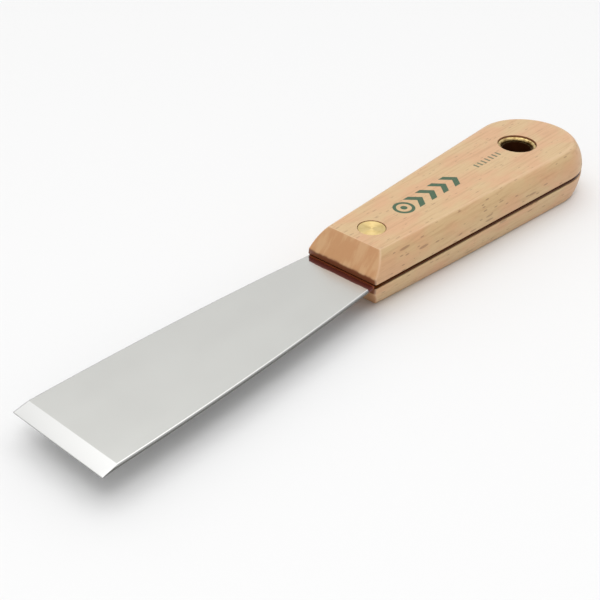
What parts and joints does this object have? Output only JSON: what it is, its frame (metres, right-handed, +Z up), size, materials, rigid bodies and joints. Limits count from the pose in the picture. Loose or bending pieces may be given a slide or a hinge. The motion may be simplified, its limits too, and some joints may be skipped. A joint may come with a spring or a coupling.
{
  "type": "flexible putty knife",
  "caption": "Flat hand tool with a thin chisel-edged steel blade, a full tang between wooden handle scales, brass rivet and a brass-lined hanging hole.",
  "frame": {"origin": "middle of the bottom of the tool's bounding box, on the surface that the handle lies on", "axes": "+X from the working edge along the tool to the butt, +Y across the blade, +Z up through the handle's flat faces"},
  "size_m": [0.2034, 0.0364, 0.0168],
  "materials": {
    "blade_steel": "satin ground spring steel with a brighter ground bevel",
    "beech": "sanded beech with a thin clear coat and short dark ray flecks",
    "rivet_brass": "turned brass, slightly dished heads",
    "eyelet_brass": "rolled brass, a little dull"
  },
  "bodies": {
    "root": {"blade": "blade_steel", "upper_scale": "beech", "lower_scale": "beech", "front_rivet_post": "rivet_brass", "front_rivet_sleeve": "rivet_brass", "hang_eyelet_sleeve": "eyelet_brass", "hang_eyelet_tube": "eyelet_brass"}
  },
  "joints": []
}
